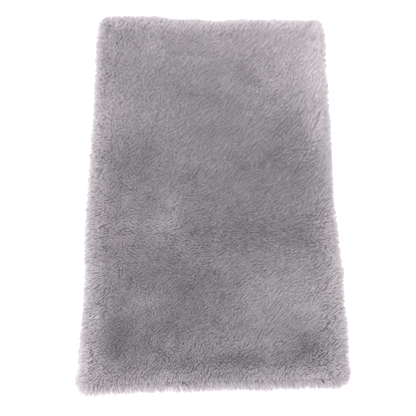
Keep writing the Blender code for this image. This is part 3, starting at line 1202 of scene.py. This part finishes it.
class RUG_OT_under_wool(bpy.types.Operator):
    """Model the dense wool below the tips: a lumpy shell round and over the hide, coloured dark as
    painted shade
    """

    bl_idname = "rug.add_under_wool"
    bl_label = "Under-wool"

    def execute(self, context):
        top = sizes().under_wool_height
        under = outline_grid("under_wool", -UNDER_WOOL_INSET, top, UNDER_WOOL_CELL)
        for outset, height in UNDER_WOOL_SHOULDER:
            extrude_rim(under, outset, top * height)
        extrude_rim(under, UNDER_WOOL_FOOT, UNDER_WOOL_GAP)
        extrude_rim(under, UNDER_WOOL_GAP, UNDER_WOOL_GAP)
        extrude_rim(under, UNDER_WOOL_GAP, sizes().hide_thickness + UNDER_WOOL_GAP)
        close_rim()
        places = np.array([vert.co for vert in under.data.vertices])
        x, y, z = places.T
        lump = UNDER_WOOL_LUMPS.at(x, y) + UNDER_WOOL_SWELL.at(x, y)
        places[:, 2] += lump * (z > 0.5 * top)
        move_corners(under, places)
        bpy.ops.object.shade_smooth_by_angle(angle=UNDER_WOOL_SMOOTH_ANGLE)
        deep = Vector(colours().deep_wool)
        # painted shade: a dark mottle standing in for the shade deep in the pile
        under.data.materials.append(mottled_material(
            "shaded under wool", roughness=0.95, sheen=0.1, base=deep * UNDER_WOOL_SHADE,
            stain=deep * UNDER_WOOL_DEEPER_SHADE, broad=90.0, fine=420.0, bump=0.8,
        ))
        place_piece(under, "wool")
        return {"FINISHED"}


# ---- the sheared pile

PILE_PIECES = ("pile_near", "pile_lower", "pile_middle", "pile_upper", "pile_far")

# Depths inside the cut edge, counted in fan depths
PILE_EDGE = 0.75
BORDER_END = 2.0
CORNER_END = 2.5

ROOT_JITTER = 0.40
SLANTED = 0.25  # the way outwards is this far off both axes round a corner
PALE_LENGTH = 0.015
UNEVEN_LENGTH = 0.035
UNEVEN_RIM_LENGTH = 0.08
TOUSLE = (0.08, 0.03)  # at the near end and at the far end
UPRIGHT_DEPTH = 0.010
TIP_SPREAD = 0.00035
PARTING_DEPTH = 0.12
FOOT_SHARE = 0.78
# painted shade along the partings and a painted highlight on their lips
PARTING_SHADE = 0.65
LIP_HIGHLIGHT = 0.12
PILE_THICKNESS = (0.85, 1.15)


class Roots(NamedTuple):
    """Where tufts grow: their places, their depths inside the cut edge, and the way outwards."""

    x: np.ndarray
    y: np.ndarray
    depth: np.ndarray
    outward: np.ndarray

    def where(self, kept):
        """Some of the roots."""
        return Roots(*(column[kept] for column in self))


def roots_between(chance, pitch, least, most):
    """Roots a pitch apart, at depths between two limits that are counted in fan depths."""
    row_pitch = pitch * math.sqrt(0.75)
    rows, columns = int(2.0 * HIDE_HIGH.y / row_pitch) + 2, int(2.0 * HIDE_HIGH.x / pitch) + 2
    column, row = np.meshgrid(np.arange(columns), np.arange(rows))
    x = ((column + 0.5 * (row % 2) - columns / 2.0) * pitch).ravel()
    y = ((row - rows / 2.0) * row_pitch).ravel()
    x += chance.uniform(-ROOT_JITTER, ROOT_JITTER, x.shape) * pitch
    y += chance.uniform(-ROOT_JITTER, ROOT_JITTER, y.shape) * pitch
    roots, fan = Roots(x, y, *OUTLINE.depth(x, y)), sizes().fan_depth
    return roots.where((roots.depth > least * fan) & (roots.depth <= most * fan))


def pile_roots(chance):
    """The pile's roots, closer together near the rim, and closest round the corners."""
    rug = sizes()
    middle = roots_between(chance, rug.tuft_pitch, BORDER_END, math.inf)
    border = roots_between(chance, rug.border_pitch, PILE_EDGE, BORDER_END)
    corner = roots_between(chance, rug.border_pitch, PILE_EDGE, CORNER_END)
    corner = corner.where(np.abs(corner.outward).min(axis=1) > SLANTED)
    return Roots(*(np.concatenate(column) for column in zip(middle, border, corner)))


def pile_reach(chance, roots, bunch):
    """The way from each root to the tip of its tuft, in X, Y and Z."""
    rug, depth, outward, count = sizes(), roots.depth, roots.outward, len(roots.depth)
    uneven = UNEVEN_LENGTH + UNEVEN_RIM_LENGTH * near_edge(depth, rug.fan_depth)
    pale = PALE_LENGTH * mostly_pale(bunch.mark)
    length = wool_length_at(depth) * (1.0 + pale + uneven * chance.uniform(-1.0, 1.0, count))
    length += PILE_SWELL.at(roots.x, roots.y)
    slope = combed_slope(roots.x, roots.y)
    tousle = np.interp(roots.y, (HIDE_LOW.y, HIDE_HIGH.y), TOUSLE)
    slope[:, 0] += tousle * TOUSLE_X.at(bunch.x, bunch.y)
    slope[:, 1] += tousle * TOUSLE_Y.at(bunch.x, bunch.y)
    inward = near_edge(depth - PILE_EDGE * rug.fan_depth, UPRIGHT_DEPTH)
    slope -= outward * ((slope * outward).sum(axis=1) * inward)[:, None]
    angle = fan_angle(depth)
    rise = (length * np.cos(angle))[:, None]
    level = outward * (length * np.sin(angle))[:, None] + slope * rise
    level[:, 0] += bunch.pull_x + chance.normal(0.0, TIP_SPREAD, count)
    level[:, 1] += bunch.pull_y + chance.normal(0.0, TIP_SPREAD, count)
    return np.concatenate([level, rise], axis=1)


def pile_fold_shading(roots, bunch, turn, stretch):
    """The painted shade and light that the folds between the bunches, and between rounder ones
    across them, add to the tone.
    """
    cross = nearest_bunches(
        roots.x, roots.y, CROSS_WIDTH * sizes().bunch_width, turn + CROSS_TURN, CROSS_STRETCH,
        Seed.CROSS_BUNCHES, row_turn=ROW_TURN + CROSS_TURN, row_stretch=CROSS_STRETCH,
    )
    depth = fold_shade_strength(roots.x, roots.y, roots.depth) * (stretch / BUNCH_STRETCH)
    return colours().painted_fold_shade * depth * (fold_shading_across(bunch) + CROSS_SHARE * fold_shading_across(cross))


def grow_pieces(names, patch, sections, radii, turns, tones, material):
    """One piece for each name, of the tufts whose patch is that name's number."""
    for number, name in enumerate(names):
        here = patch == number
        piece = tuft_object(
            name, [middle[here] for middle in sections], [radius[here] for radius in radii],
            turns[here], tones[here], material,
        )
        place_piece(piece, "wool")


class RUG_OT_pile(bpy.types.Operator):
    """Grow the sheared pile: upright tufts, bunched at their tips, in bands along the rug"""

    bl_idname = "rug.add_pile"
    bl_label = "Sheared pile"

    def execute(self, context):
        rug, tint = sizes(), colours()
        chance = np.random.default_rng(Seed.PILE)
        roots = pile_roots(chance)
        x, y, count = roots.x, roots.y, len(roots.x)
        turn, stretch = bunch_run(*roots)
        bunch = nearest_bunches(x, y, rug.bunch_width, turn, stretch, Seed.BUNCHES)
        reach = pile_reach(chance, roots, bunch)
        root = np.stack([x, y, np.full(count, rug.hide_thickness)], axis=1)
        tip_x, tip_y = x + reach[:, 0], y + reach[:, 1]
        dip, lip = parted(tip_x, tip_y)
        tip = root + reach * (1.0 - PARTING_DEPTH * dip)[:, None]
        foot = root + reach * FOOT_SHARE
        # painted light and shade of the brushed pile, plus random clouds of tone
        tone = tint.wool_tone + painted_brush_shading(tip_x, tip_y) + PILE_CLOUDS.at(x, y)
        tone += tint.bunch_contrast * mostly_pale(bunch.mark)
        # painted shade in the folds below the bunches and painted light above them
        tone += pile_fold_shading(roots, bunch, turn, stretch)
        tone += tint.tuft_contrast * mostly_pale(chance.uniform(0.0, 1.0, count))
        # painted light near the rim
        tone += tint.painted_pile_rim_light * near_edge(roots.depth, rug.rim_light_depth)
        # painted shade in the partings and a painted highlight on their lips
        tone += LIP_HIGHLIGHT * lip - PARTING_SHADE * dip
        turns = chance.uniform(0.0, 2.0 * math.pi, count)
        radius = rug.tuft_radius * chance.uniform(*PILE_THICKNESS, count)
        band = (y - HIDE_LOW.y) / (HIDE_HIGH.y - HIDE_LOW.y) * len(PILE_PIECES)
        band = np.clip(band, 0, len(PILE_PIECES) - 1).astype(int)
        look = wool_material("pile wool", tint.root_shade, 0.0)
        grow_pieces(PILE_PIECES, band, [foot, tip], [radius], turns, tone, look)
        return {"FINISHED"}


# ---- the loose wool at the rim

RIM_PIECES = ("rim_right", "rim_far", "rim_left", "rim_near")

RIM_ROWS = 15
RIM_ROW_POWER = 1.5  # the rows stand closer together towards the cut edge
RIM_ROW_JITTER = 0.0012
RIM_SIDEWAYS_SPREAD = 0.20
RIM_ANGLE_SPREAD = math.radians(5.0)

# Shares of the full length: the least, what a bunch adds, and what chance adds
RIM_LEAST_LENGTH = 0.80
RIM_BUNCH_LENGTH = 0.04
RIM_CHANCE_LENGTH = 0.34
RIM_CHANCE_POWER = 1.6

# A few are wisps, longer and thinner than the rest
WISP_SHARE = 0.18
WISP_LENGTH = (1.05, 1.25)
WISP_THICKNESS = 0.55

# From foot to tip: each part's share of the length, and how much further out it leans
RIM_PARTS = ((0.30, -0.28), (0.36, 0.05), (0.34, 0.28))
RIM_MOST_ANGLE = math.radians(115.0)
RIM_GATHER = 0.03
RIM_THICKNESS = (0.8, 1.2)
RIM_TAPER = (1.0, 0.80, 0.0)
RIM_REST = 0.0004  # the least height above the floor

# the share of the painted brush light and shade that the rim's wool takes
RIM_BRUSH_SHARE = 0.6
# how fast the painted rim light fades with a rim tuft's depth
RIM_LIGHT_FALL = 0.34
RIM_STROKE_STRETCH = 3.0
RIM_TUFT_CONTRAST = 0.7


class RimRoots(NamedTuple):
    """Where the rim's tufts grow: the cut edge near them, their places, their depths inside
    it, and the ways outwards and along it."""

    edge: np.ndarray
    place: np.ndarray
    depth: np.ndarray
    outward: np.ndarray
    along: np.ndarray


def rim_roots(chance):
    """Roots in rows along the cut edge, from the edge itself to the fan's depth."""
    rug = sizes()
    foot, normal = OUTLINE.walk(rug.overhang, rug.rim_tuft_pitch)
    depths = rug.fan_depth * np.linspace(0.0, 1.0, RIM_ROWS) ** RIM_ROW_POWER
    edge, outward = np.tile(foot, (RIM_ROWS, 1)), np.tile(normal, (RIM_ROWS, 1))
    depth = np.repeat(depths, len(foot))
    count = len(depth)
    depth = np.maximum(depth + chance.uniform(-0.5, 0.5, count) * RIM_ROW_JITTER, 0.0)
    along = np.stack([-outward[:, 1], outward[:, 0]], axis=1)
    shift = along * (chance.uniform(-0.5, 0.5, count) * rug.rim_tuft_pitch)[:, None]
    return RimRoots(edge, edge - outward * depth[:, None] + shift, depth, outward, along)


def rim_lengths(chance, roots, bunch):
    """Each tuft's length, and whether it is a wisp."""
    count, (edge_x, edge_y) = len(roots.depth), roots.edge.T
    added = RIM_CHANCE_LENGTH * chance.uniform(0.0, 1.0, count) ** RIM_CHANCE_POWER
    share = RIM_LEAST_LENGTH + RIM_BUNCH_LENGTH * bunch.mark + added
    length = wool_length_at(roots.depth) * share
    wisp = chance.uniform(0.0, 1.0, count) < WISP_SHARE
    length *= np.where(wisp, chance.uniform(*WISP_LENGTH, count), 1.0)
    length += RIM_SWELL.at(edge_x, edge_y) + overgrowth(edge_x, edge_y)
    return length, wisp


def rim_sections(roots, bunch, way, angle, length):
    """The tufts' rings and tips, as they lean further and further out and gather sideways."""
    gather = ((bunch.x - roots.edge[:, 0]) * roots.along[:, 0]
              + (bunch.y - roots.edge[:, 1]) * roots.along[:, 1])
    droop = np.clip(1.0 - roots.depth / sizes().fan_depth, 0.0, 1.0)
    height = np.full((len(length), 1), sizes().hide_thickness)
    place, sections = np.concatenate([roots.place, height], axis=1), []
    for share, bend in RIM_PARTS:
        turned = np.clip(angle * (1.0 + bend * droop), 0.0, RIM_MOST_ANGLE)[:, None]
        step = np.concatenate([way * np.sin(turned), np.cos(turned)], axis=1)
        place = place + step * (length * share)[:, None]
        place[:, :2] += roots.along * (gather * RIM_GATHER)[:, None]
        sections.append(place)
    return sections


def rim_tones(chance, roots, tip, way):
    """Each tuft's tone: painted brush light and shade, painted light strongest at the cut edge, and
    strokes of light and shade that run as the wool does.
    """
    rug, tint = sizes(), colours()
    # painted light and shade of the brushed pile, at a share of its strength
    tone = tint.wool_tone + painted_brush_shading(tip[:, 0], tip[:, 1]) * RIM_BRUSH_SHARE
    # painted light, strongest at the cut edge and fading inwards
    tone += tint.painted_rim_light - RIM_LIGHT_FALL * roots.depth / rug.fan_depth
    stroke = nearest_bunches(
        tip[:, 0], tip[:, 1], rug.rim_bunch_width, np.arctan2(way[:, 1], way[:, 0]),
        RIM_STROKE_STRETCH, Seed.RIM_STROKES,
    )
    tone += tint.bunch_contrast * mostly_pale(stroke.mark)
    drawn = chance.uniform(0.0, 1.0, len(tone))
    return tone + RIM_TUFT_CONTRAST * tint.tuft_contrast * mostly_pale(drawn)


def rim_side(outward):
    """The side of the rug that each tuft is on, in the order of the rim's pieces."""
    right, far = outward.T
    end = np.where(far > 0.0, 1, 3)
    return np.where(np.abs(right) > np.abs(far), np.where(right > 0.0, 0, 2), end)


class RUG_OT_rim(bpy.types.Operator):
    """Grow the loose wool at the rim: curved tufts that fan out past the hide to the floor"""

    bl_idname = "rug.add_rim"
    bl_label = "Rim wool"

    def execute(self, context):
        rug, tint = sizes(), colours()
        chance = np.random.default_rng(Seed.RIM)
        roots = rim_roots(chance)
        count = len(roots.depth)
        bunch = nearest_bunches(
            roots.edge[:, 0], roots.edge[:, 1], rug.rim_bunch_width, ROW_TURN, BUNCH_STRETCH,
            Seed.RIM_BUNCHES,
        )
        slope = combed_slope(roots.place[:, 0], roots.place[:, 1])
        sideways = (slope * roots.along).sum(axis=1) + (
            RIM_SIDEWAYS.at(bunch.x, bunch.y) + chance.normal(0.0, RIM_SIDEWAYS_SPREAD, count)
        )
        way = roots.outward + roots.along * sideways[:, None]
        angle = fan_angle(roots.depth) + chance.normal(0.0, RIM_ANGLE_SPREAD, count)
        length, wisp = rim_lengths(chance, roots, bunch)
        sections = rim_sections(roots, bunch, way, angle, length)
        thickness = rug.rim_tuft_radius * chance.uniform(*RIM_THICKNESS, count)
        thickness *= np.where(wisp, WISP_THICKNESS, 1.0)
        for middle, share in zip(sections, RIM_TAPER):
            middle[:, 2] = np.maximum(middle[:, 2], RIM_REST + thickness * share)
        tones = rim_tones(chance, roots, sections[-1], way)
        turns = chance.uniform(0.0, 2.0 * math.pi, count)
        radii = [share * thickness for share in RIM_TAPER[:-1]]
        look = wool_material("rim wool", tint.rim_root_shade, tint.painted_tip_light)
        grow_pieces(RIM_PIECES, rim_side(roots.outward), sections, radii, turns, tones, look)
        return {"FINISHED"}


# ---- the studio

WHITE = (1.0, 1.0, 1.0, 1.0)
FLOOR_SIZE = 60.0
FLOOR_HEIGHT = 0.0001  # a hair above the hide's underside, so the two don't flicker
FLOOR_GLOW = 0.45
SKY_STRENGTH = 1.50
CAMERA_PLACE = (-0.0107, -0.9105, 1.8606)
CAMERA_TILT = math.radians(90.0 - 65.3)
CAMERA_LENS = 72.9
CAMERA_SENSOR = 36.0
CAMERA_NEAR = 0.01


class Lamp(NamedTuple):
    """A square lamp that faces the rug's middle."""

    name: str
    place: tuple
    size: float
    power: float


LAMPS = (
    Lamp("key light", (0.9, 1.3, 2.4), 1.8, 36.0),
    Lamp("fill light", (-1.0, -1.5, 2.4), 2.2, 62.0),
)


def add_floor():
    """A pale floor far wider than the rug."""
    bpy.ops.object.select_all(action="DESELECT")
    bpy.ops.mesh.primitive_plane_add(size=FLOOR_SIZE, location=(0.0, 0.0, FLOOR_HEIGHT))
    floor = bpy.context.active_object
    floor.name = "floor"
    look, shader = new_material("floor", 0.9, 0.0)
    shader.inputs["Base Color"].default_value = with_alpha(colours().floor)
    shader.inputs["Emission Color"].default_value = WHITE
    shader.inputs["Emission Strength"].default_value = FLOOR_GLOW
    floor.data.materials.append(look)


def add_lights(scene):
    """A white sky and two soft lamps."""
    scene.world = bpy.data.worlds.new("studio")
    scene.world.use_nodes = True
    background = scene.world.node_tree.nodes["Background"]
    background.inputs["Color"].default_value = WHITE
    background.inputs["Strength"].default_value = SKY_STRENGTH
    for lamp in LAMPS:
        light = bpy.data.objects.new(lamp.name, bpy.data.lights.new(lamp.name, "AREA"))
        light.data.size = lamp.size
        light.data.energy = lamp.power
        light.location = lamp.place
        light.rotation_euler = (-Vector(lamp.place)).to_track_quat("-Z", "Y").to_euler()
        scene.collection.objects.link(light)


def add_camera(scene):
    """A camera that looks down at the rug from beyond its near end."""
    camera = bpy.data.objects.new("camera", bpy.data.cameras.new("camera"))
    camera.data.sensor_width = CAMERA_SENSOR
    camera.data.lens = CAMERA_LENS
    camera.data.clip_start = CAMERA_NEAR
    camera.location = CAMERA_PLACE
    camera.rotation_euler = (CAMERA_TILT, 0.0, 0.0)
    scene.collection.objects.link(camera)
    scene.camera = camera


class RUG_OT_stage(bpy.types.Operator):
    """Set the pale floor, the soft studio light and the camera"""

    bl_idname = "rug.add_stage"
    bl_label = "Studio"

    def execute(self, context):
        add_floor()
        add_lights(context.scene)
        add_camera(context.scene)
        context.scene.view_settings.view_transform = "Standard"
        return {"FINISHED"}


# ---- the add-on


class RUG_PT_panel(bpy.types.Panel):
    """The rug's sizes, colours and pieces, in the sidebar"""

    bl_idname = "RUG_PT_panel"
    bl_label = "Sheepskin rug"
    bl_space_type = "VIEW_3D"
    bl_region_type = "UI"
    bl_category = "Sheepskin rug"

    def draw(self, context):
        layout = self.layout
        for group in (context.scene.rug_sizes, context.scene.rug_colours):
            box = layout.box()
            for name in group.__annotations__:
                box.prop(group, name)
        for operator in OPERATORS:
            layout.operator(operator.bl_idname)


OPERATORS = (RUG_OT_stage, RUG_OT_hide, RUG_OT_under_wool, RUG_OT_pile, RUG_OT_rim)
CLASSES = (RugSizes, RugColours, *OPERATORS, RUG_PT_panel)


def register():
    for each in CLASSES:
        bpy.utils.register_class(each)
    bpy.types.Scene.rug_sizes = PointerProperty(type=RugSizes)
    bpy.types.Scene.rug_colours = PointerProperty(type=RugColours)


def unregister():
    del bpy.types.Scene.rug_colours
    del bpy.types.Scene.rug_sizes
    for each in reversed(CLASSES):
        bpy.utils.unregister_class(each)


def main():
    """Register the add-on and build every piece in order."""
    register()
    bpy.ops.rug.add_stage()
    bpy.ops.rug.add_hide()
    bpy.ops.rug.add_under_wool()
    bpy.ops.rug.add_pile()
    bpy.ops.rug.add_rim()


if __name__ == "__main__":
    main()
